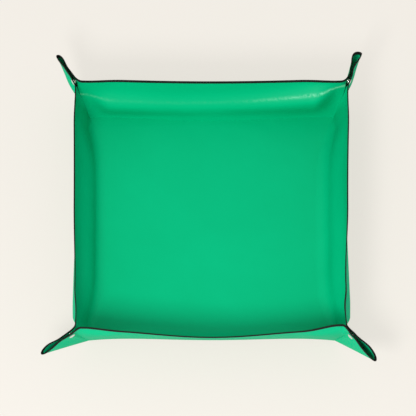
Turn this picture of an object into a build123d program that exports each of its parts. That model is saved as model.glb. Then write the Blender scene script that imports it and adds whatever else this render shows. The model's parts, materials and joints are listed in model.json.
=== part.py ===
"""Folding potting tray: one square coated sheet whose four corners are pinched by snap buttons.

Every piece of the sheet is drawn where it lies on the flat sheet, and its sketch plane then
carries it to where it stands once the tray is folded up. X runs to the right, Y to the back
and Z up. The origin is the middle of the floor's underside.
"""

from build123d import *
from math import acos, asin, atan, atan2, cos, degrees, radians, sin, sqrt, tan
import os

os.makedirs("parts", exist_ok=True)

# Sizes in millimetres, angles in degrees.

# The sheet, laid flat
sheet_side = 680.0
sheet_thickness = 0.6
corner_radius = 45.0

# The folds
wall_height = 110.0
pinch_angle = 12.2
crease_gap = 0.35

# How far each ear turns off its corner's diagonal, towards the front or back wall
front_left_turn = -12.0
front_right_turn = 2.0
back_right_turn = 24.0
back_left_turn = 15.0
ear_clearance = 0.15

# The tape sewn round the edge
tape_width = 5.0
tape_thickness = 0.4
tape_gap = 1.0

# The snap buttons: where they sit on the ears
snap_below_edge = 14.0
snap_past_crease = 9.5

# The snap buttons: outer cap and the rivet post that holds it
cap_radius = 6.0
cap_height = 1.9
cap_rim = 0.7
crown_radius = 3.6
crown_drop = 0.27
cap_metal = 0.5
cap_foot = 1.1
post_radius = 1.6
post_bore = 1.0
post_clearance = 0.05
rivet_radius = 2.05
rivet_height = 0.3

# The snap buttons: socket on one leaf, stud on the other
socket_radius = 5.0
socket_height = 3.2
socket_floor = 0.4
socket_mouth = 2.95
socket_cavity = 3.7
socket_lip = 0.5
stud_radius = 4.4
stud_flange = 0.7
stud_neck = 2.1
stud_head = 2.6
stud_height = 3.0
snap_gap = 1.0

# Derived sizes
half_side = sheet_side / 2
floor_half = half_side - wall_height
mid = sheet_thickness / 2
pinch = radians(pinch_angle)
up = Vector(0, 0, 1)

# The pinch is where the two leaves of an ear are snapped together. The stack of socket and
# stud keeps their mid surfaces apart, and so sets how far the walls lean out.
leaf_gap = sheet_thickness + socket_height + snap_gap + stud_flange
leaf_angle = radians(45 - pinch_angle)
snap_along = (wall_height - snap_below_edge + snap_past_crease * sin(pinch)) / cos(pinch)
snap_off_ear = snap_along * sin(leaf_angle) - snap_past_crease * cos(leaf_angle)
snap_up_ear = snap_along * cos(leaf_angle) + snap_past_crease * sin(leaf_angle)
leaf_tilt = asin(leaf_gap / 2 / snap_off_ear)
leaf_spread = sqrt(2) * sin(leaf_angle) * sin(leaf_tilt)
wall_lean = degrees(asin((sin(pinch) + leaf_spread) / cos(pinch)))
fold_angle = 90 - wall_lean

outward = {
    "front": Vector(0, -1, 0),
    "right": Vector(1, 0, 0),
    "back": Vector(0, 1, 0),
    "left": Vector(-1, 0, 0),
}

# Each corner is named after its end wall and its side wall. The leaf that shows most has the socket.
corners = {
    "front_left": ("front", "left"),
    "front_right": ("front", "right"),
    "back_right": ("back", "right"),
    "back_left": ("back", "left"),
}
socket_side = {"front_left": "front", "front_right": "front", "back_right": "right", "back_left": "left"}
ear_turn = {
    "front_left": front_left_turn,
    "front_right": front_right_turn,
    "back_right": back_right_turn,
    "back_left": back_left_turn,
}


def turned(point, direction, angle):
    """The move that turns a piece about a line through a point."""
    return Location(point) * Location((0, 0, 0), direction, angle) * Location(-point)


def fold_axis(wall):
    """Direction of a wall's fold line, about which the wall turns up."""
    return outward[wall].cross(up)


def folded(direction, wall):
    """A direction on the flat sheet, as it points once its wall is folded up."""
    return direction.rotate(Axis((0, 0, 0), fold_axis(wall)), fold_angle)


def sheet_plane(place):
    """The flat sheet's middle plane, carried along by a move."""
    return Plane(place * Location((0, 0, mid)))


def flat_direction(wall, other, angle):
    """Direction on the flat sheet at an angle (radians) from one wall's outward side to another's."""
    return outward[wall] * cos(angle) + outward[other] * sin(angle)


def corner_point(wall, other):
    """Corner of the floor, where two walls' fold lines meet."""
    return (outward[wall] + outward[other]) * floor_half


def wall_place(wall):
    """The move that folds one wall up."""
    return turned(outward[wall] * floor_half + up * mid, fold_axis(wall), fold_angle)


def angle_about(axis, start, end):
    """Signed angle from one direction to another about an axis, in degrees."""
    return degrees(atan2(axis.dot(start.cross(end)), start.cross(axis).dot(end.cross(axis))))


class Ear:
    """One folded corner: two pinch creases on its walls and the ear's own crease between them.

    Turning an ear brings its leaves closer together, so its pinch creases lie a little further
    apart than a straight ear's, and the snap still has its room.
    """

    def __init__(self, corner):
        self.corner = corner
        self.end, self.side = corners[corner]
        turn = ear_turn[corner]
        lean = cos(radians(fold_angle))
        spread = leaf_spread / cos(radians(turn))
        self.pinch = acos(spread / sqrt(1 + lean**2)) - atan(1 / lean)
        self.point = corner_point(self.end, self.side)
        end_crease = folded(flat_direction(self.end, self.side, self.pinch), self.end)
        side_crease = folded(flat_direction(self.side, self.end, self.pinch), self.side)
        pinch_line = (end_crease + side_crease).normalized()
        diagonal = (outward[self.end] + outward[self.side]).normalized()
        rise = end_crease.dot(up)
        reach = end_crease.dot(diagonal)
        drop = acos(cos(radians(45) - self.pinch) / sqrt(rise**2 + reach**2))
        slope = atan2(rise, reach) - drop
        straight = diagonal * cos(slope) + up * sin(slope)
        sense = 1 if straight.cross(outward[self.end]).dot(pinch_line) > 0 else -1
        self.crease = straight.rotate(Axis((0, 0, 0), pinch_line), turn * sense)
        normal = self.crease.cross(pinch_line).normalized()
        self.normal = normal if normal.dot(end_crease) > 0 else -normal

    def middle_plane(self, wall):
        """The ear's middle plane, facing the leaf of one of its walls."""
        normal = self.normal if wall == self.end else -self.normal
        return Plane(self.point + up * mid, x_dir=self.crease, z_dir=normal)


class Leaf:
    """One leaf of an ear: the piece between a wall's pinch crease and the ear's own crease."""

    def __init__(self, ear, wall):
        other = ear.side if wall == ear.end else ear.end
        self.name = f"{ear.corner}_ear_{wall}_leaf"
        self.corner = ear.point
        self.crease = flat_direction(wall, other, ear.pinch)
        hinge = folded(self.crease, wall)
        tip_angle = ear.pinch + radians(ear.crease.get_angle(hinge))
        self.tip = flat_direction(wall, other, tip_angle)
        swing = angle_about(hinge, folded(self.tip, wall), ear.crease)
        self.place = turned(self.corner + up * mid, hinge, swing) * wall_place(wall)
        self.trim = ear.middle_plane(wall).offset(ear_clearance)
        self.has_socket = wall == socket_side[ear.corner]
        off_ear = flat_direction(wall, other, tip_angle - radians(90))
        self.snap = self.corner + self.tip * snap_up_ear + off_ear * snap_off_ear

    def seat(self, inside):
        """Plane on the leaf's inner or outer face at the snap's middle, facing away from the leaf."""
        sheet = sheet_plane(self.place)
        normal = sheet.z_dir if inside else -sheet.z_dir
        return Plane(sheet.from_local_coords(self.snap) + normal * mid, x_dir=sheet.x_dir, z_dir=normal)


ears = {corner: Ear(corner) for corner in corners}


def flat_points(points):
    """Points on the flat sheet as plain pairs."""
    return [(point.X, point.Y) for point in points]


def floor_outline():
    """Corners of the floor on the flat sheet."""
    return flat_points([
        corner_point("front", "left"),
        corner_point("front", "right"),
        corner_point("back", "right"),
        corner_point("back", "left"),
    ])


def wall_outline(wall):
    """Corners of one wall on the flat sheet, run on past the sheet's edge."""
    reach = wall_height + tape_width
    first, second = [ear for ear in ears.values() if wall in (ear.end, ear.side)]
    head = []
    for ear in (first, second):
        other = ear.side if wall == ear.end else ear.end
        head.append(ear.point + outward[wall] * reach + outward[other] * (reach * tan(ear.pinch)))
    return flat_points([first.point, second.point, head[1], head[0]])


def leaf_outline(leaf):
    """Corners of one leaf on the flat sheet, run on past the sheet's edge."""
    reach = 2 * wall_height
    return flat_points([leaf.corner, leaf.corner + leaf.crease * reach, leaf.corner + leaf.tip * reach])


def make_panel(name, outline, plane, hole=None, trim=None):
    """A panel of the sheet between its creases, with a hole for a snap's post if it has one."""
    with BuildPart() as panel:
        with BuildSketch(plane):
            with BuildLine():
                Polyline(*outline, close=True)
            make_face()
            offset(amount=-crease_gap, kind=Kind.INTERSECTION, mode=Mode.REPLACE)
            RectangleRounded(sheet_side, sheet_side, corner_radius, mode=Mode.INTERSECT)
            if hole:
                with Locations((hole.X, hole.Y)):
                    Circle(post_radius + post_clearance, mode=Mode.SUBTRACT)
        extrude(amount=mid, both=True)
        if trim:
            split(bisect_by=trim, keep=Keep.TOP)
    panel.part.label = name
    export_step(panel.part, f"parts/{name}.step")


def make_tape(name, outline, plane, trim=None):
    """A length of edge tape, folded over the sheet's edge."""
    outer_side = sheet_side + 2 * tape_thickness
    inner_side = sheet_side - 2 * tape_width
    with BuildPart() as tape:
        with BuildSketch(plane):
            with BuildLine():
                Polyline(*outline, close=True)
            make_face()
            offset(amount=-tape_gap, kind=Kind.INTERSECTION, mode=Mode.REPLACE)
            RectangleRounded(outer_side, outer_side, corner_radius + tape_thickness, mode=Mode.INTERSECT)
            RectangleRounded(inner_side, inner_side, corner_radius - tape_width, mode=Mode.SUBTRACT)
        extrude(amount=mid + tape_thickness, both=True)
        with BuildSketch(plane):
            RectangleRounded(sheet_side, sheet_side, corner_radius)
        extrude(amount=mid, both=True, mode=Mode.SUBTRACT)
        if trim:
            split(bisect_by=trim, keep=Keep.TOP)
    tape.part.label = name
    export_step(tape.part, f"parts/{name}.step")


def profile_plane(seat):
    """Plane for a round piece's half profile: X is its radius and Y runs along its axis."""
    return Plane(seat.origin, x_dir=seat.x_dir, z_dir=-seat.y_dir)


def make_round(name, seat, draw_profile):
    """A round piece turned about the axis of its seat."""
    with BuildPart() as piece:
        with BuildSketch(profile_plane(seat)):
            with BuildLine():
                draw_profile()
            make_face()
        revolve(axis=Axis(seat.origin, seat.z_dir))
    piece.part.label = name
    export_step(piece.part, f"parts/{name}.step")


def cap_profile(grip):
    """Domed cap with a hollow post that runs through the sheet and is rolled over at its end."""
    rim_inner = cap_radius - cap_rim
    foot_inner = rim_inner - cap_foot
    under = cap_height - cap_metal
    rivet_top = -sheet_thickness - grip
    rivet_end = rivet_top - rivet_height
    ThreePointArc((0, cap_height), (crown_radius, cap_height - crown_drop), (cap_radius, cap_rim))
    RadiusArc((cap_radius, cap_rim), (rim_inner, 0), cap_rim)
    Polyline(
        (rim_inner, 0),
        (foot_inner, 0),
        (post_radius + cap_metal, under),
        (post_radius, under - cap_metal),
        (post_radius, rivet_top),
        (rivet_radius, rivet_top),
        (rivet_radius, rivet_end + rivet_height / 2),
        (rivet_radius - rivet_height / 2, rivet_end),
        (post_bore, rivet_end),
        (post_bore, 0),
        (0, 0),
        (0, cap_height),
    )


def socket_profile():
    """Open ring with a floor on the sheet and a rolled lip round its mouth."""
    belly = socket_radius - socket_lip
    Polyline((post_radius + post_clearance, socket_floor), (post_radius + post_clearance, 0), (belly, 0))
    ThreePointArc((belly, 0), (socket_radius, socket_height / 2), (belly, socket_height))
    Polyline((belly, socket_height), (socket_mouth + socket_lip / 2, socket_height))
    RadiusArc(
        (socket_mouth + socket_lip / 2, socket_height),
        (socket_mouth + socket_lip / 2, socket_height - socket_lip),
        -socket_lip / 2,
    )
    Polyline(
        (socket_mouth + socket_lip / 2, socket_height - socket_lip),
        (socket_cavity, socket_height - socket_lip),
        (socket_cavity, socket_floor),
        (post_radius + post_clearance, socket_floor),
    )


def stud_profile():
    """Flange on the sheet with a necked, rounded head that the socket grips."""
    bore = post_radius + post_clearance
    shoulder = (stud_height + stud_flange) / 2
    Polyline(
        (bore, 0),
        (stud_radius, 0),
        (stud_radius - stud_flange / 2, stud_flange),
        (stud_neck, stud_flange),
        (stud_neck, shoulder - stud_flange),
    )
    ThreePointArc(
        (stud_neck, shoulder - stud_flange),
        (stud_head, shoulder + stud_flange / 2),
        (rivet_radius, stud_height),
    )
    Polyline((rivet_radius, stud_height), (bore, stud_height), (bore, 0))


# The floor and its four walls, with the tape along each wall's rim
make_panel("floor_panel", floor_outline(), sheet_plane(Location()))
for wall in outward:
    plane = sheet_plane(wall_place(wall))
    make_panel(f"{wall}_wall", wall_outline(wall), plane)
    make_tape(f"{wall}_wall_edge_tape", wall_outline(wall), plane)

# The ears: two leaves each, with their tape and one half of the snap on each leaf
for corner, ear in ears.items():
    for wall in (ear.end, ear.side):
        leaf = Leaf(ear, wall)
        plane = sheet_plane(leaf.place)
        make_panel(leaf.name, leaf_outline(leaf), plane, leaf.snap, leaf.trim)
        make_tape(f"{leaf.name}_edge_tape", leaf_outline(leaf), plane, leaf.trim)
        if leaf.has_socket:
            make_round(f"{corner}_snap_cap", leaf.seat(False), lambda: cap_profile(socket_floor))
            make_round(f"{corner}_snap_socket", leaf.seat(True), socket_profile)
        else:
            make_round(f"{corner}_snap_post", leaf.seat(False), lambda: cap_profile(stud_height))
            make_round(f"{corner}_snap_stud", leaf.seat(True), stud_profile)
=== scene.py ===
"""Looks of the folding potting tray.

The tray is one square sheet, so each piece of it is worked out from where it lies on the flat
sheet: a wall's point from its place along the edge and its distance out from the fold line, and
an ear's point from its distance and angle about the floor's corner. Lengths are in metres.
"""

import json
from math import acos, asin, atan2, cos, exp, hypot, pi, radians, sin, sqrt, tan

import bpy
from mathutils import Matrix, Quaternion, Vector


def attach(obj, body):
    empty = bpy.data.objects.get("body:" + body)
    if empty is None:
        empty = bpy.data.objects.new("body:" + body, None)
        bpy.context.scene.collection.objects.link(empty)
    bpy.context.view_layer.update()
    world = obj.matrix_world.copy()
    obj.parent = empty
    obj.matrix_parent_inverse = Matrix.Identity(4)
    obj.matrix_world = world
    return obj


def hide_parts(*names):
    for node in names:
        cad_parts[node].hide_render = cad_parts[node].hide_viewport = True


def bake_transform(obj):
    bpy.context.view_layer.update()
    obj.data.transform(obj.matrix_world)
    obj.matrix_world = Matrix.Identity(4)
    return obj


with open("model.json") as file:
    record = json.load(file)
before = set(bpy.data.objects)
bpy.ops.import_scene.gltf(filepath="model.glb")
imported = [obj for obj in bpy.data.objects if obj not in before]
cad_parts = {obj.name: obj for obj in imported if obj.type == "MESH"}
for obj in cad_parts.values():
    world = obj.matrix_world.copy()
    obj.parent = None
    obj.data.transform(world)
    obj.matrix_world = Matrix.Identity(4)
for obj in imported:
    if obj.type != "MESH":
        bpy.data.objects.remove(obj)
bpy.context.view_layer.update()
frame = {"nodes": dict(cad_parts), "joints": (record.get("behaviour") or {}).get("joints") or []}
bpy.ops.object.select_all(action="DESELECT")

# The sheet, cut and folded as in the part's source
half_side = 0.340
wall_height = 0.110
floor_half = half_side - wall_height
thickness = 0.0006
corner_radius = 0.045
middle = thickness / 2
up = Vector((0, 0, 1))
outward = {
    "front": Vector((0, -1, 0)),
    "right": Vector((1, 0, 0)),
    "back": Vector((0, 1, 0)),
    "left": Vector((-1, 0, 0)),
}
ear_turn = {"front_left": -12, "front_right": 2, "back_right": 24, "back_left": 15}

# How softly each wall rises out of the floor, how fast that tightens towards a corner, and how wide
# a margin of the floor belongs to each wall's piece
bend_reach = {"front": 0.038, "right": 0.024, "back": 0.0003, "left": 0.018}
bend_tightening = 0.85
floor_margin = 0.046
flat_floor = floor_half - floor_margin

# How far each wall's foot has slumped in over the floor, how high on the wall that is felt, how
# evenly it runs along the wall, how far from the wall's middle it ends, and the band of the sheet
# whose mesh rows follow the slumped fold
foot_slump = {"front": 0.0, "right": 0.014, "back": 0.008, "left": 0.015}
slump_rise = {"front": 0.085, "right": 0.085, "back": 0.040, "left": 0.085}
slump_even = {"front": 6, "right": 6, "back": 2, "left": 6}
slump_half = 0.205
fold_band = 0.040

# How far each rim stands out at its middle, and how narrowly that is gathered there
rim_out = {"front": 0.0135, "right": -0.0050, "back": -0.0060, "left": -0.0020}
rim_gather = {"front": 3.0, "right": 1.2, "back": 1.5, "left": 1.2}

# How far each rim is drawn in next to a pinched corner, and how far the wall swells out below it
drawn_in = {
    ("front_left", "front"): 0.0085,
    ("front_right", "front"): 0.0135,
    ("front_right", "right"): 0.0090,
    ("back_right", "right"): 0.0030,
    ("back_right", "back"): 0.0040,
    ("back_left", "back"): 0.0040,
    ("back_left", "left"): 0.0030,
    ("front_left", "left"): 0.0060,
}
end_swell = {
    ("front_right", "right"): 0.0014,
    ("front_left", "left"): 0.0018,
    ("back_right", "right"): 0.0070,
    ("back_left", "left"): 0.0080,
    ("front_right", "front"): 0.0040,
    ("front_left", "front"): 0.0040,
}

# Where a wall end's swell is fullest, as a share of the wall's height, and how it spreads about the
# floor's corner, in angles past the pinch crease: its start on the wall, its fullest place, its fade
swell_peak = 0.70
swell_start = radians(-75)
swell_fullest = radians(-16)
swell_fade = radians(28)

# The angle before the pinch crease at which the draw-in starts to ease off, and the angle it takes
drawn_easing = radians(9)
drawn_fade = radians(34)

# How far the front half of each side wall hangs out above half height, from where and over what run
# that grows, and how near the wall's end it dies out
front_slack = {"right": 0.0088, "left": 0.0080}
slack_from = 0.070
slack_run = 0.230
slack_end = 0.024

# How far the rim is pulled in over that front half, over what run that grows, and how near the
# wall's end it dies out
front_pull = {"right": 0.0075, "left": 0.0035}
pull_run = 0.160
pull_end = 0.050

# How wide each leaf stands off its ear's mouth, and the share of the leaf over which that is felt
ear_mouth = {
    ("front_left", "front"): 0.0042,
    ("front_left", "left"): 0.0042,
    ("front_right", "front"): 0.0052,
    ("front_right", "right"): 0.0052,
    ("back_right", "right"): 0.0036,
    ("back_right", "back"): 0.0078,
    ("back_left", "back"): 0.0036,
    ("back_left", "left"): 0.0026,
}
mouth_share = {"front_left": 0.58, "front_right": 0.80, "back_right": 0.56, "back_left": 0.56}

# How far a leaf bellies out beside its ear's own crease, and how far the mouth leans to one side
leaf_belly = {("back_left", "left"): 0.0060, ("back_right", "right"): 0.0060}
mouth_lean = {("back_right", "back"): 0.0045, ("back_right", "right"): -0.0036}

# How far the soft bend at the pinch reaches to each side, how far out from the floor's corner the
# two walls lie closed on each other there, and over what run that ends
soft_crease = radians(5.5)
closed_until = 0.104
closed_fade = 0.014

# The soft wave along the back wall: how far it stands in, as a share of its height on the wall, how
# softly it falls back above, where it is lowest, how fast its ends rise, how near the rim and the
# wall's ends it dies out, and how far above it a pale line of painted highlight runs, of what width
wave_depth = 0.32
wave_width = 0.022
wave_middle = -0.060
wave_low = 0.040
wave_rise = 0.40
wave_rim = 0.020
wave_end = 0.045
sheen_line_above = 0.015
sheen_line_width = 0.0026

# How far the front rim curls in, and how near the corners that dies out
rim_curl = 0.0035
curl_end = 0.060

# The threads of the weave and the ribs of the tape
weave_pitch = 0.0021
rib_pitch = 0.0011

# The tape sewn over the edge, as (distance in from the edge, height off the middle surface)
tape_profile = [
    (0.0053, 0.00036), (0.0053, 0.00070), (0.0048, 0.00084), (0.0006, 0.00096), (-0.0003, 0.00068),
    (-0.0007, 0.0), (-0.0003, -0.00068), (0.0006, -0.00096), (0.0048, -0.00084), (0.0053, -0.00070),
    (0.0053, -0.00036), (-0.0001, -0.00034), (-0.0001, 0.00034),
]
stitch_in = 0.0034
stitch_pitch = 0.0036
stitch_length = 0.0027
stitch_radius = 0.00032
stitch_height = 0.00090
stitch_flatness = 0.8

# Points along each tape, and steps in which a leaf's flat edge is measured
rim_stations = 141
leaf_stations = 64
leaf_measures = 60


def smooth(share):
    """Eases from 0 to 1 as the share goes from 0 to 1."""
    share = min(max(share, 0.0), 1.0)
    return share * share * (3 - 2 * share)


def edge_reach(angle):
    """Distance from the floor's corner to the sheet's edge, at an angle from a wall's outward side."""
    inner = wall_height - corner_radius
    if angle < atan2(inner, wall_height):
        return wall_height / cos(angle)
    diagonal = inner * sqrt(2)
    off = angle - radians(45)
    return diagonal * cos(off) + sqrt(corner_radius**2 - (diagonal * sin(off))**2)


def swell_height(out):
    """Share of a wall end's swell at a distance out from the fold line, with none there or at the rim."""
    share = min(max(out / wall_height, 0.0), 1.0)
    if share < swell_peak:
        return sin(pi / 2 * share / swell_peak)**3
    return 1 - smooth((share - swell_peak) / (1 - swell_peak))


def swell_spread(turn):
    """Share of a wall end's swell at an angle past the pinch crease (negative on the wall)."""
    if turn < swell_fullest:
        return smooth((turn - swell_start) / (swell_fullest - swell_start))
    return 1 - smooth((turn - swell_fullest) / swell_fade)


def drawn_spread(turn):
    """Share of a rim's draw-in at an angle past the pinch crease: none at it, full a little before it."""
    return smooth(-turn / soft_crease) * (1 - smooth((-turn - drawn_easing) / drawn_fade))


def wave(along, out):
    """How far the back wall's wave stands in: it sags at the middle and dies out towards the rim."""
    top = wave_low + wave_rise * (along - wave_middle)**2
    if out < top:
        return wave_depth * top * smooth(out / top)
    return wave_depth * top * exp(-((out - top) / wave_width)**2) * smooth((wall_height - out) / wave_rim)


def slump(wall, along, out):
    """How far a wall's foot has slumped in over the floor, most of it at the middle."""
    middle_share = max(1 - (along / slump_half)**slump_even[wall], 0.0)**2
    return foot_slump[wall] * middle_share * (1 - smooth(out / slump_rise[wall]))


def follow_fold(wall, along, out):
    """Moves a row of a wall's points, so that the row at the fold line runs along the slumped fold."""
    return out - slump(wall, along, 0.0) * (1 - smooth(abs(out) / fold_band))


def curl(out):
    """Share of the front rim's curl, all of it near the rim."""
    return max(out / wall_height, 0.0)**6


class Ear:
    """One pinched corner: the floor's corner, the two pinch creases and the ear's own crease."""

    def __init__(self, corner):
        self.name = corner
        self.end, self.side = corner.split("_")
        self.corner = (outward[self.end] + outward[self.side]) * floor_half + up * middle
        joints = {joint["name"]: joint for joint in frame["joints"]}
        self.crease = {}
        for wall in (self.end, self.side):
            axis = Vector(joints[f"{corner}_{wall}_leaf_fold"]["axis"])
            self.crease[wall] = axis if axis.z > 0 else -axis
        end_crease = self.crease[self.end]
        pinch_line = (end_crease + self.crease[self.side]).normalized()
        self.pinch = asin(end_crease.dot(outward[self.side]))
        self.fold = atan2(end_crease.z, end_crease.dot(outward[self.end]))
        diagonal = (outward[self.end] + outward[self.side]).normalized()
        reach = end_crease.dot(diagonal)
        drop = acos(cos(radians(45) - self.pinch) / hypot(end_crease.z, reach))
        slope = atan2(end_crease.z, reach) - drop
        straight = diagonal * cos(slope) + up * sin(slope)
        sense = 1 if straight.cross(outward[self.end]).dot(pinch_line) > 0 else -1
        self.tip = Quaternion(pinch_line, radians(ear_turn[corner]) * sense) @ straight


class Leaf:
    """One side of an ear, with the soft bend that joins it to its wall."""

    def __init__(self, ear, wall):
        self.ear = ear
        self.wall = wall
        self.other = ear.side if wall == ear.end else ear.end
        self.name = f"{ear.name}_ear_{wall}_leaf"
        self.along = ear.crease[wall]
        self.to_other = ear.crease[self.other] - self.along
        slope = outward[wall] * cos(ear.fold) + up * sin(ear.fold)
        self.into_wall = slope * sin(ear.pinch) - outward[self.other] * cos(ear.pinch)
        self.into_ear = (ear.tip - self.along * ear.tip.dot(self.along)).normalized()
        self.angle = self.along.angle(ear.tip)
        self.wall_outside = outward[wall] * sin(ear.fold) - up * cos(ear.fold)
        outside = self.along.cross(self.into_ear)
        sense = 1 if self.along.cross(-self.into_wall).dot(self.wall_outside) > 0 else -1
        self.outside = outside * sense
        self.swell = end_swell.get((ear.name, wall), 0.0)
        other_swell = end_swell.get((ear.name, self.other), 0.0)
        other_outside = outward[self.other] * sin(ear.fold) - up * cos(ear.fold)
        swell_apart = other_outside * other_swell - self.wall_outside * self.swell
        self.swell_apart = swell_apart * swell_spread(0.0)
        self.drawn = drawn_in[ear.name, wall]
        self.mouth = ear_mouth[ear.name, wall]
        self.mouth_share = mouth_share[ear.name]
        self.belly = leaf_belly.get((ear.name, wall), 0.0)
        self.lean = mouth_lean.get((ear.name, wall), 0.0)

    def pushed_out(self, across, out):
        """How far the wall's end stands out of its plane at a flat place about the floor's corner."""
        if out <= 0:
            return 0.0
        turn = atan2(across, out) - self.ear.pinch
        swell = self.swell * swell_height(out) * swell_spread(turn)
        return swell - self.drawn * drawn_spread(turn) * (out / wall_height)**3

    def on_wall(self, reach, turn):
        """Point of the wall's end at a distance and angle about the floor's corner."""
        angle = turn + self.ear.pinch
        place = (self.along * cos(turn) - self.into_wall * sin(turn)) * reach
        return place + self.wall_outside * self.pushed_out(reach * sin(angle), reach * cos(angle))

    def bellied(self, reach, turn):
        """How far the leaf bellies out, clear of the snap and most of all beside the ear's own crease."""
        snap_angle, snap_near, snap_run = radians(9), 0.060, 0.025
        fullest, full_reach, fade_reach, fade_run = 0.5, 0.088, 0.072, 0.060
        clear = snap_angle * smooth((reach - snap_near) / snap_run)
        rising = smooth((turn - clear) / (fullest * self.angle - clear))
        off_crease = min(max(1 - turn / self.angle, 0.0) / (1 - fullest), 1.0)
        rounded = sqrt(1 - (1 - off_crease)**2)
        grown = smooth(reach / full_reach)
        return self.belly * rising * rounded * grown * (1 - smooth((reach - fade_reach) / fade_run))

    def leaned(self, reach, turn):
        """How far the mouth's edge leans to one side, between the snap and the ear's own crease."""
        snap_angle, snap_run = radians(6), radians(9)
        share = min(max(turn / self.angle, 0.0), 1.0)
        near_edge = (reach / edge_reach(turn + self.ear.pinch))**4
        return self.lean * sin(pi * share) * smooth((turn - snap_angle) / snap_run) * near_edge

    def on_ear(self, reach, turn):
        """Point of the leaf's own surface at a distance and angle about the floor's corner."""
        lip_share, fade_share, opening = 0.36, 0.4, 1.5
        angle = turn + self.ear.pinch
        place = (self.along * cos(turn) + self.into_ear * sin(turn)) * reach
        off_tip = min(max((self.angle - turn) / self.angle / self.mouth_share, 0.0), 1.0)
        rounded = sqrt(1 - (1 - min(off_tip / lip_share, 1.0))**2)
        opened = self.mouth * (reach / edge_reach(angle))**opening
        faded = 1 - smooth((off_tip - fade_share) / (1 - fade_share))
        place += self.outside * (opened * rounded * faded)
        place += self.outside * (self.bellied(reach, turn) + self.leaned(reach, turn))
        return place + self.wall_outside * self.pushed_out(reach * sin(angle), reach * cos(angle))

    def point(self, across, out):
        """Point of the middle surface, from its flat place about the floor's corner."""
        reach = hypot(across, out)
        turn = atan2(across, out) - self.ear.pinch
        if turn >= soft_crease:
            return self.ear.corner + self.on_ear(reach, turn)
        if turn <= -soft_crease:
            return self.ear.corner + self.on_wall(reach, turn)
        nudge = radians(0.05)
        soft_from, soft_run = 0.45, 0.45
        run = 2 * soft_crease / nudge
        first, last = self.on_wall(reach, -soft_crease), self.on_ear(reach, soft_crease)
        leaving = (first - self.on_wall(reach, -soft_crease - nudge)) * run
        landing = (self.on_ear(reach, soft_crease + nudge) - last) * run
        share = (turn + soft_crease) / (2 * soft_crease)
        eased = smooth(share)
        bent = first * (1 - eased) + last * eased
        bent += leaving * (share * (1 - share)**2) - landing * (share**2 * (1 - share))
        creased = self.on_wall(reach, turn) if turn < 0 else self.on_ear(reach, turn)
        softness = smooth((reach / edge_reach(turn + self.ear.pinch) - soft_from) / soft_run)
        apart = self.to_other * reach + self.swell_apart * swell_height(reach * cos(self.ear.pinch))
        off = turn / soft_crease
        closed = (1 + off)**2 if off < 0 else (1 - off**2)**2
        closed *= smooth((closed_until - reach) / closed_fade)
        closed *= max(0.5 - 0.5 * thickness / max(apart.length, thickness), 0.0)
        place = creased + (bent - creased) * softness + apart * closed
        return self.ear.corner + place

    def flat(self, across, out):
        """Where a place about the floor's corner lies on the whole flat sheet."""
        place = outward[self.wall] * (floor_half + out) + outward[self.other] * (floor_half + across)
        return place.x, place.y

    def edge(self, angle, inset):
        """A place an inset in from the sheet's edge, at an angle from the wall's outward side."""
        reach = edge_reach(angle)
        across, out = reach * sin(angle), reach * cos(angle)
        inner = wall_height - corner_radius
        if across <= inner:
            return across, out - inset
        share = 1 - inset / corner_radius
        return inner + (across - inner) * share, inner + (out - inner) * share


class Wall:
    """One wall, from the flat floor over its soft bend to the rim."""

    def __init__(self, name, ears):
        self.name = name
        self.outward = outward[name]
        self.along = Vector((1, 0, 0)) if name in ("front", "back") else Vector((0, 1, 0))
        self.leaves = {}
        for ear in ears.values():
            if name in (ear.end, ear.side):
                leaf = Leaf(ear, name)
                self.leaves[1 if outward[leaf.other].dot(self.along) > 0 else -1] = leaf
        self.fold = self.leaves[1].ear.fold
        self.inside = up * cos(self.fold) - self.outward * sin(self.fold)
        self.reach = bend_reach[name]
        self.bow = rim_out[name] / wall_height
        self.gather = rim_gather[name]

    def end(self, sense, out):
        """How far along the wall its end lies, at a distance out from the fold line."""
        if out < 0:
            return sense * (floor_half + out)
        return sense * (floor_half + out * tan(self.leaves[sense].ear.pinch - soft_crease))

    def point(self, along, out):
        """Point of the middle surface, from its flat place on the wall."""
        sense = 1 if along > 0 else -1
        leaf = self.leaves[sense]
        full = floor_half + max(out, 0.0) * tan(leaf.ear.pinch)
        fold = self.fold - self.bow * (1 - min(abs(along) / full, 1.0)**2)**self.gather
        to_corner = max(floor_half - abs(along), 0.0)
        reach = self.reach * (1 - exp(-bend_tightening * to_corner / self.reach))
        slumped = slump(self.name, along, out)
        up_wall = out + slumped
        if up_wall <= -reach:
            place, rise = up_wall, 0.0
        elif up_wall < reach:
            radius = reach / tan(fold / 2)
            turn = fold * (up_wall + reach) / (2 * reach)
            place, rise = radius * sin(turn) - reach, radius * (1 - cos(turn))
        else:
            place, rise = up_wall * cos(fold), up_wall * sin(fold)
        place -= slumped
        push = sum(self.leaves[s].pushed_out(s * along - floor_half, out) for s in (-1, 1))
        to_end = abs(self.end(sense, out)) - abs(along)
        if self.name == "back":
            push -= smooth(to_end / wave_end) * wave(along, out)
        if self.name == "front":
            push -= rim_curl * smooth(to_corner / curl_end) * curl(out)
        if self.name in front_slack:
            slack = front_slack[self.name] * smooth((slack_from - along) / slack_run)
            push += slack * smooth(to_end / slack_end) * swell_height(out)
            pull = front_pull[self.name] * smooth(-along / pull_run)
            push -= pull * smooth(to_end / pull_end) * max(out / wall_height, 0.0)**5
        place += push * sin(fold)
        rise -= push * cos(fold)
        return self.outward * (floor_half + place) + self.along * along + up * (middle + rise)

    def flat(self, along, out):
        """Where a place on the wall lies on the whole flat sheet."""
        place = self.outward * (floor_half + out) + self.along * along
        return place.x, place.y


# Finishes

def colour(red, green, blue):
    """A colour from its 0 to 255 screen values."""
    def linear(value):
        value /= 255
        return value / 12.92 if value <= 0.04045 else ((value + 0.055) / 1.055)**2.4
    return (linear(red), linear(green), linear(blue), 1.0)


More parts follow.
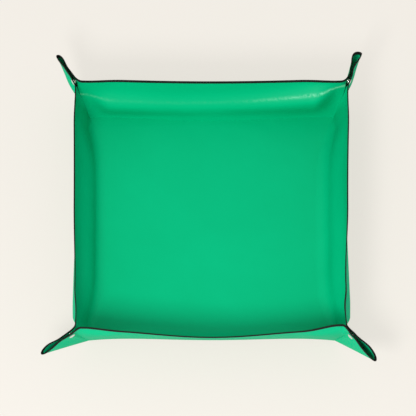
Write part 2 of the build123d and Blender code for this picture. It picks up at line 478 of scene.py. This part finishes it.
class Finish:
    """A material's node tree, with short calls to add and join its nodes."""

    def __init__(self, name):
        self.material = bpy.data.materials.new(name)
        self.material.use_nodes = True
        self.nodes = self.material.node_tree.nodes
        self.links = self.material.node_tree.links
        self.shader = self.nodes["Principled BSDF"]

    def add(self, kind, **values):
        node = self.nodes.new(kind)
        for key, value in values.items():
            if hasattr(node, key):
                setattr(node, key, value)
            else:
                node.inputs[key.replace("_", " ").title()].default_value = value
        return node

    def join(self, source, target):
        self.links.new(source, target)

    def ramp(self, source, low, high, start=0.0, end=1.0):
        """Colours between two values of a pattern."""
        node = self.add("ShaderNodeValToRGB")
        node.color_ramp.elements[0].position = start
        node.color_ramp.elements[1].position = end
        node.color_ramp.elements[0].color = low
        node.color_ramp.elements[1].color = high
        self.join(source, node.inputs["Fac"])
        return node.outputs["Color"]

    def span(self, source, low, high):
        """A pattern's 0 to 1 spread over two values."""
        node = self.add("ShaderNodeMapRange")
        node.inputs["To Min"].default_value = low
        node.inputs["To Max"].default_value = high
        self.join(source, node.inputs["Value"])
        return node.outputs["Result"]

    def maths(self, operation, first, second):
        node = self.add("ShaderNodeMath", operation=operation)
        for socket, value in zip(node.inputs, (first, second)):
            if isinstance(value, float):
                socket.default_value = value
            else:
                self.join(value, socket)
        return node.outputs[0]

    def bump(self, height, strength, distance, below=None):
        node = self.add("ShaderNodeBump")
        node.inputs["Strength"].default_value = strength
        node.inputs["Distance"].default_value = distance
        self.join(height, node.inputs["Height"])
        if below:
            self.join(below, node.inputs["Normal"])
        return node.outputs["Normal"]


def bands(finish, place, direction, pitch):
    """Even ribs across a surface, at a pitch in metres."""
    wave = finish.add("ShaderNodeTexWave", bands_direction=direction)
    wave.inputs["Scale"].default_value = pi / 10 / pitch
    finish.join(place, wave.inputs["Vector"])
    return wave.outputs["Fac"]


def noise(finish, place, scale, detail=3.0):
    """Uneven cloudiness, finer as the scale grows."""
    node = finish.add("ShaderNodeTexNoise")
    node.inputs["Scale"].default_value = scale
    node.inputs["Detail"].default_value = detail
    finish.join(place, node.inputs["Vector"])
    return node.outputs["Fac"]


def painted_sheen_line(finish, flat, weave):
    """Share of the pale dotted line of painted highlight, standing in for sheen, above the back wall's
    wave.
    """
    falloff, faintest = 0.37, 0.06
    place = finish.add("ShaderNodeSeparateXYZ")
    finish.join(flat, place.inputs[0])
    off = finish.maths("SUBTRACT", place.outputs["X"], wave_middle)
    rise = finish.maths("MULTIPLY", finish.maths("MULTIPLY", off, off), wave_rise)
    height = finish.maths("SUBTRACT", place.outputs["Y"], floor_half + wave_low + sheen_line_above)
    gap = finish.maths("DIVIDE", finish.maths("SUBTRACT", height, rise), sheen_line_width)
    line = finish.maths("POWER", falloff, finish.maths("MULTIPLY", gap, gap))
    ends = finish.span(finish.maths("ABSOLUTE", off, 0.0), low=-0.5, high=4.4)
    patchy = finish.span(noise(finish, flat, scale=190.0, detail=1.0), low=-0.5, high=1.5)
    sheened = finish.maths("MULTIPLY", patchy, finish.maths("MAXIMUM", ends, faintest))
    dotted = finish.span(weave, low=0.4, high=1.2)
    return finish.maths("MULTIPLY", finish.maths("MULTIPLY", line, sheened), dotted)


def coated_weave(name, plain, deep, shine, gloss, creased=None):
    """Fine woven sheet under a waterproof coat: dotted weave, slight waviness and cloudy gloss."""
    finish = Finish(name)
    flat = finish.add("ShaderNodeTexCoord").outputs["UV"]
    warp = bands(finish, flat, "X", weave_pitch)
    weft = bands(finish, flat, "Y", weave_pitch)
    weave = finish.maths("MULTIPLY", warp, weft)
    cloud = noise(finish, flat, scale=7.0)
    speck = noise(finish, flat, scale=420.0, detail=2.0)
    dotted, clouded = finish.maths("MULTIPLY", weave, 0.35), finish.maths("MULTIPLY", cloud, 0.65)
    shade = finish.ramp(finish.maths("ADD", dotted, clouded), deep, plain, start=0.15, end=0.75)
    # Painted highlight: where a colour is given, the pale dotted line is mixed over the weave's colour
    if creased:
        mix = finish.add("ShaderNodeMix", data_type="RGBA")
        unsheened, sheened, mixed = mix.inputs[6], mix.inputs[7], mix.outputs[2]
        finish.join(painted_sheen_line(finish, flat, weave), mix.inputs["Factor"])
        finish.join(shade, unsheened)
        sheened.default_value = creased
        shade = mixed
    finish.join(shade, finish.shader.inputs["Base Color"])
    cloudy, specked = finish.maths("MULTIPLY", cloud, 0.10), finish.maths("MULTIPLY", speck, 0.10)
    rough = finish.maths("ADD", finish.maths("ADD", cloudy, specked), shine)
    finish.join(rough, finish.shader.inputs["Roughness"])
    waviness = finish.bump(noise(finish, flat, scale=16.0, detail=1.0), strength=0.25, distance=0.006)
    relief = finish.bump(weave, strength=0.28, distance=0.0004, below=waviness)
    finish.join(relief, finish.shader.inputs["Normal"])
    finish.shader.inputs["Specular IOR Level"].default_value = gloss
    finish.shader.inputs["Coat Weight"].default_value = gloss / 4
    finish.shader.inputs["Coat Roughness"].default_value = 0.28
    return finish.material


def woven_tape(name):
    """Black ribbed binding tape, with slight wear along its edge."""
    finish = Finish(name)
    along = finish.add("ShaderNodeTexCoord").outputs["UV"]
    ribs = bands(finish, along, "DIAGONAL", rib_pitch)
    fuzz = noise(finish, along, scale=900.0, detail=2.0)
    wear = noise(finish, along, scale=40.0, detail=4.0)
    tone = finish.maths("ADD", finish.maths("MULTIPLY", ribs, 0.4), finish.maths("MULTIPLY", wear, 0.6))
    shade = finish.ramp(tone, colour(2, 4, 3), colour(13, 17, 14), start=0.25, end=0.8)
    finish.join(shade, finish.shader.inputs["Base Color"])
    finish.join(finish.span(fuzz, low=0.62, high=0.88), finish.shader.inputs["Roughness"])
    fuzziness = finish.bump(fuzz, strength=0.2, distance=0.0002)
    relief = finish.bump(ribs, strength=0.5, distance=0.0003, below=fuzziness)
    finish.join(relief, finish.shader.inputs["Normal"])
    finish.shader.inputs["Specular IOR Level"].default_value = 0.18
    return finish.material


def sewing_thread(name):
    """Black twisted thread, a little brighter than the tape it holds."""
    finish = Finish(name)
    place = finish.add("ShaderNodeTexCoord").outputs["Object"]
    twist = noise(finish, place, scale=1400.0, detail=1.0)
    shade = finish.ramp(twist, colour(9, 12, 10), colour(34, 38, 35))
    finish.join(shade, finish.shader.inputs["Base Color"])
    finish.join(finish.span(twist, low=0.45, high=0.65), finish.shader.inputs["Roughness"])
    return finish.material


def plated_metal(name):
    """Bright plated brass of the snap buttons, with fine handling marks."""
    finish = Finish(name)
    place = finish.add("ShaderNodeTexCoord").outputs["Object"]
    marks = noise(finish, place, scale=900.0, detail=6.0)
    haze = noise(finish, place, scale=120.0, detail=3.0)
    shade = finish.ramp(haze, colour(205, 206, 202), colour(236, 236, 232))
    finish.join(shade, finish.shader.inputs["Base Color"])
    finish.join(finish.span(marks, low=0.12, high=0.30), finish.shader.inputs["Roughness"])
    relief = finish.bump(marks, strength=0.08, distance=0.0001)
    finish.join(relief, finish.shader.inputs["Normal"])
    finish.shader.inputs["Metallic"].default_value = 1.0
    return finish.material


# The pale colour given as creased is painted highlight along the back wall's wave, standing in for its
# sheen
inside_finish = coated_weave("green_coated_inside", colour(1, 167, 114), colour(0, 160, 107),
                             shine=0.32, gloss=0.042, creased=colour(150, 226, 190))
outside_finish = coated_weave("mint_coated_outside", colour(5, 176, 126), colour(3, 168, 117),
                              shine=0.42, gloss=0.029)
tape_finish = woven_tape("black_edge_tape")
thread_finish = sewing_thread("black_thread")
metal_finish = plated_metal("plated_snap_metal")


# Making the pieces

def new_piece(name, points, faces, flat, inside, *finishes):
    """A mesh from its points and faces, with its flat places as its UV map, facing the given way."""
    mesh = bpy.data.meshes.new(name)
    mesh.from_pydata([tuple(point) for point in points], [], faces)
    layer = mesh.uv_layers.new(name="flat")
    for loop in mesh.loops:
        layer.data[loop.index].uv = flat[loop.vertex_index]
    mesh.update()
    if inside is not None and mesh.polygons[len(mesh.polygons) // 2].normal.dot(inside) < 0:
        mesh.flip_normals()
    for finish in finishes:
        mesh.materials.append(finish)
    piece = bpy.data.objects.new(name, mesh)
    bpy.context.scene.collection.objects.link(piece)
    return piece


def pick(piece):
    """Makes a piece the only one that the next steps work on."""
    bpy.ops.object.select_all(action="DESELECT")
    bpy.context.view_layer.objects.active = piece
    piece.select_set(True)


def face_outward(piece):
    """Turns a closed piece's faces outward, with its round edges smooth."""
    pick(piece)
    bpy.ops.object.mode_set(mode="EDIT")
    bpy.ops.mesh.select_all(action="SELECT")
    bpy.ops.mesh.normals_make_consistent(inside=False)
    bpy.ops.object.mode_set(mode="OBJECT")
    bpy.ops.object.shade_smooth_by_angle(angle=radians(60))


def finish_sheet(piece):
    """The sheet's thickness, with the outer face in its own finish."""
    pick(piece)
    solidify = piece.modifiers.new("thickness", "SOLIDIFY")
    solidify.thickness = thickness
    solidify.offset = 0
    solidify.material_offset = 1
    solidify.material_offset_rim = 1
    bpy.ops.object.modifier_apply(modifier=solidify.name)
    bpy.ops.object.shade_smooth_by_angle(angle=radians(35))


def grid_faces(rows, columns, first=0):
    """Quads of a grid whose points run along its rows."""
    faces = []
    for row in range(rows - 1):
        for column in range(columns - 1):
            corner = first + row * columns + column
            faces.append((corner, corner + 1, corner + columns + 1, corner + columns))
    return faces


def make_floor():
    """The flat middle of the sheet."""
    count = 61
    places = [flat_floor * (2 * step / (count - 1) - 1) for step in range(count)]
    flat = [(x, y) for y in places for x in places]
    points = [Vector((x, y, middle)) for x, y in flat]
    piece = new_piece("floor_sheet", points, grid_faces(count, count), flat, up,
                      inside_finish, outside_finish)
    finish_sheet(piece)
    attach(piece, "floor")
    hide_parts("floor_panel")
    return piece


def make_wall(wall):
    """One wall with its soft bend out of the floor."""
    margin_step, margin_rows, fold_rows = 0.0025, 14, 20
    foot_step, foot_rows, upper_rows = 0.0022, 21, 18
    columns, evenness = 141, 0.72
    low = flat_floor - floor_half
    outs = [low + margin_step * step for step in range(margin_rows)]
    outs += [outs[-1] * (1 - step / fold_rows) for step in range(1, fold_rows + 1)]
    outs += [outs[-1] + foot_step * step for step in range(1, foot_rows + 1)]
    outs += [outs[-1] + (wall_height - outs[-1]) * step / upper_rows for step in range(1, upper_rows + 1)]
    points, flat = [], []
    for out in outs:
        start, stop = wall.end(-1, out), wall.end(1, out)
        for column in range(columns):
            swing = cos(pi * (column / (columns - 1)))
            share = 0.5 - 0.5 * swing * (evenness + (1 - evenness) * swing**2)
            along = start + (stop - start) * share
            place = along, follow_fold(wall.name, along, out)
            points.append(wall.point(*place))
            flat.append(wall.flat(*place))
    faces = grid_faces(len(outs), columns)
    piece = new_piece(f"{wall.name}_wall_sheet", points, faces, flat, wall.inside + up,
                      inside_finish, outside_finish)
    finish_sheet(piece)
    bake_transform(piece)
    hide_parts(f"{wall.name}_wall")
    return piece


def make_leaf(leaf):
    """One side of an ear, from its soft bend on the wall to the ear's own crease."""
    soft_steps, leaf_steps, rows, gathering = 12, 34, 44, 1.7
    turns = [-soft_crease + 2 * soft_crease * step / soft_steps for step in range(soft_steps)]
    for step in range(leaf_steps + 1):
        left = (1 - step / leaf_steps)**gathering
        turns.append(leaf.angle - (leaf.angle - soft_crease) * left)
    columns = len(turns)
    points, flat = [leaf.ear.corner], [leaf.flat(0, 0)]
    for row in range(1, rows + 1):
        for turn in turns:
            angle = turn + leaf.ear.pinch
            reach = edge_reach(angle) * row / rows
            place = reach * sin(angle), reach * cos(angle)
            points.append(leaf.point(*place))
            flat.append(leaf.flat(*place))
    faces = [(0, column + 1, column + 2) for column in range(columns - 1)]
    faces += grid_faces(rows, columns, 1)
    piece = new_piece(f"{leaf.name}_sheet", points, faces, flat, -leaf.outside,
                      inside_finish, outside_finish)
    finish_sheet(piece)
    bend_leaf(piece)
    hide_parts(leaf.name)
    return piece


def bend_leaf(piece):
    """Bakes a piece's place into its mesh."""
    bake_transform(piece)


def edge_frames(surface, place, count):
    """Stations along an edge: the point at an inset, the way off the surface and the way ahead."""
    step, nearby = 0.0002, 0.002
    stations = []
    for index in range(count):
        share = index / (count - 1)

        def at(inset, share=share):
            return surface(*place(share, inset))

        inward = at(step) - at(0.0)
        ahead = surface(*place(min(share + nearby, 1.0), 0.0))
        ahead -= surface(*place(max(share - nearby, 0.0), 0.0))
        stations.append((at, ahead.cross(inward).normalized(), ahead.normalized()))
    return stations


def make_tape(name, stations, slot_node, way_in):
    """Binding tape folded over an edge."""
    profile_step = 0.001
    points, flat, faces = [], [], []
    length = 0.0
    count = len(tape_profile)
    last = None
    for at, normal, _ in stations:
        normal = normal if normal.dot(way_in) > 0 else -normal
        edge = at(0.0)
        length += (edge - last).length if last else 0.0
        last = edge
        for index, (inset, height) in enumerate(tape_profile):
            points.append(at(inset) + normal * height)
            flat.append((length, index * profile_step))
    for station in range(len(stations) - 1):
        for index in range(count):
            here, there = station * count, (station + 1) * count
            ahead = (index + 1) % count
            faces.append((here + index, here + ahead, there + ahead, there + index))
    faces.append(tuple(reversed(range(count))))
    faces.append(tuple(range((len(stations) - 1) * count, len(stations) * count)))
    piece = new_piece(name, points, faces, flat, None, tape_finish)
    face_outward(piece)
    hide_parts(slot_node)
    return piece


def make_stitches(name, surface, place, length, way_in):
    """A row of stitches on both faces of the tape, each one a row of rings (share of its length, width)."""
    sides, side_step = 6, 0.0003
    points, faces, flat = [], [], []
    rings = [(-0.5, 0.30), (-0.36, 0.85), (0.0, 1.0), (0.36, 0.85), (0.5, 0.30)]
    count = max(2, int(length / stitch_pitch))
    stations = edge_frames(surface, lambda share, inset: place(share, inset + stitch_in), count + 1)
    for at, normal, ahead in stations[:-1]:
        normal = normal if normal.dot(way_in) > 0 else -normal
        across = normal.cross(ahead).normalized()
        for face in (1, -1):
            centre = at(0.0) + normal * (stitch_height * face)
            first = len(points)
            for share, width in rings:
                for side in range(sides):
                    turn = 2 * pi * side / sides
                    offset = across * cos(turn) + normal * sin(turn) * stitch_flatness
                    place_on = centre + ahead * (share * stitch_length)
                    points.append(place_on + offset * (stitch_radius * width))
                    flat.append((share * stitch_length, side * side_step))
            for ring in range(len(rings) - 1):
                for side in range(sides):
                    here, there = first + ring * sides, first + (ring + 1) * sides
                    following = (side + 1) % sides
                    faces.append((here + side, here + following, there + following, there + side))
            faces.append(tuple(first + side for side in reversed(range(sides))))
            faces.append(tuple(first + (len(rings) - 1) * sides + side for side in range(sides)))
    piece = new_piece(name, points, faces, flat, None, thread_finish)
    face_outward(piece)
    return piece


def make_camera():
    """A long lens at the photograph's height, looking straight from the front."""
    height = radians(65.5)
    half_view = radians(1.2)
    frame_width = 0.780
    middle_of_view = Vector((-0.0070, 0.0348, 0.0154))
    lens = bpy.data.cameras.new("camera")
    lens.lens = lens.sensor_width / 2 / tan(half_view)
    distance = frame_width / 2 / tan(half_view)
    camera = bpy.data.objects.new("camera", lens)
    bpy.context.scene.collection.objects.link(camera)
    back = Vector((0, -cos(height), sin(height)))
    camera.location = middle_of_view + back * distance
    camera.rotation_mode = "QUATERNION"
    camera.rotation_quaternion = (-back).to_track_quat("-Z", "Y")
    lens.clip_end = 40
    bpy.context.scene.camera = camera


def make_light(name, place, aim, size, power):
    """A square soft light that looks at a point."""
    light = bpy.data.lights.new(name, "AREA")
    light.size = size
    light.energy = power
    lamp = bpy.data.objects.new(name, light)
    bpy.context.scene.collection.objects.link(lamp)
    lamp.location = place
    lamp.rotation_mode = "QUATERNION"
    lamp.rotation_quaternion = (Vector(aim) - Vector(place)).to_track_quat("-Z", "Y")


def make_ground():
    """The pale studio floor just below the tray, partly glowing so that shadows stay faint."""
    side, sunk, glow_share = 12, 0.0003, 0.76
    bpy.ops.mesh.primitive_plane_add(size=side, location=(0, 0, -sunk))
    ground = bpy.context.object
    ground.name = "studio_floor"
    finish = Finish("pale_studio_floor")
    finish.shader.inputs["Base Color"].default_value = colour(211, 207, 200)
    finish.shader.inputs["Roughness"].default_value = 0.9
    finish.shader.inputs["Specular IOR Level"].default_value = 0.1
    glow = finish.add("ShaderNodeEmission", Color=colour(244, 239, 231))
    ray = finish.add("ShaderNodeLightPath")
    seen = finish.maths("MAXIMUM", ray.outputs["Is Camera Ray"], ray.outputs["Is Glossy Ray"])
    seen = finish.maths("MAXIMUM", seen, ray.outputs["Is Transmission Ray"])
    mix = finish.add("ShaderNodeMixShader")
    finish.join(finish.maths("MULTIPLY", seen, glow_share), mix.inputs["Fac"])
    finish.join(finish.shader.outputs["BSDF"], mix.inputs[1])
    finish.join(glow.outputs["Emission"], mix.inputs[2])
    finish.join(mix.outputs["Shader"], finish.nodes["Material Output"].inputs["Surface"])
    ground.data.materials.append(finish.material)


def make_even_light():
    """White light all round, behind a pale backdrop."""
    world = bpy.data.worlds.new("even_light")
    bpy.context.scene.world = world
    world.use_nodes = True
    nodes, links = world.node_tree.nodes, world.node_tree.links
    even = nodes["Background"]
    even.inputs["Color"].default_value = (1, 1, 1, 1)
    even.inputs["Strength"].default_value = 0.88
    backdrop = nodes.new("ShaderNodeBackground")
    backdrop.inputs["Color"].default_value = colour(243, 239, 230)
    ray = nodes.new("ShaderNodeLightPath")
    shown = nodes.new("ShaderNodeMixShader")
    seen = ray.outputs["Is Camera Ray"]
    for kind in ("Is Glossy Ray", "Is Transmission Ray"):
        either = nodes.new("ShaderNodeMath")
        either.operation = "MAXIMUM"
        links.new(seen, either.inputs[0])
        links.new(ray.outputs[kind], either.inputs[1])
        seen = either.outputs[0]
    links.new(seen, shown.inputs["Fac"])
    links.new(even.outputs["Background"], shown.inputs[1])
    links.new(backdrop.outputs["Background"], shown.inputs[2])
    links.new(shown.outputs["Shader"], nodes["World Output"].inputs["Surface"])


bpy.context.scene.view_settings.view_transform = "Standard"
make_camera()
make_ground()
make_light("key_light", place=(-0.85, -2.05, 2.3), aim=(0, 0, 0), size=0.9, power=87.0)
make_even_light()

ears = {corner: Ear(corner) for corner in ear_turn}
walls = {name: Wall(name, ears) for name in outward}
floor_sheet = make_floor()
for wall in walls.values():
    sheet = make_wall(wall)
    start, stop = wall.end(-1, wall_height), wall.end(1, wall_height)

    def rim(share, inset, start=start, stop=stop):
        return start + (stop - start) * share, wall_height - inset

    stations = edge_frames(wall.point, rim, rim_stations)
    tape = make_tape(f"{wall.name}_rim_tape", stations, f"{wall.name}_wall_edge_tape", wall.inside)
    thread = make_stitches(f"{wall.name}_rim_stitching", wall.point, rim, stop - start, wall.inside)
    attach(tape, f"{wall.name}_wall")
    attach(thread, f"{wall.name}_wall")

    for leaf in wall.leaves.values():
        piece = make_leaf(leaf)
        first, last = leaf.ear.pinch - soft_crease, leaf.ear.pinch + leaf.angle

        def leaf_edge(share, inset, leaf=leaf, first=first, last=last):
            return leaf.edge(first + (last - first) * share, inset)

        steps = [first + (last - first) * step / leaf_measures for step in range(leaf_measures + 1)]
        places = [leaf.edge(angle, 0.0) for angle in steps]
        run = sum(hypot(b[0] - a[0], b[1] - a[1]) for a, b in zip(places, places[1:]))
        stations = edge_frames(leaf.point, leaf_edge, leaf_stations)
        tape = make_tape(f"{leaf.name}_tape", stations, f"{leaf.name}_edge_tape", -leaf.outside)
        thread = make_stitches(f"{leaf.name}_stitching", leaf.point, leaf_edge, run, -leaf.outside)
        bend_leaf(tape)
        bend_leaf(thread)

for name, node in frame["nodes"].items():
    if "_snap_" in name:
        node.data.materials.clear()
        node.data.materials.append(metal_finish)
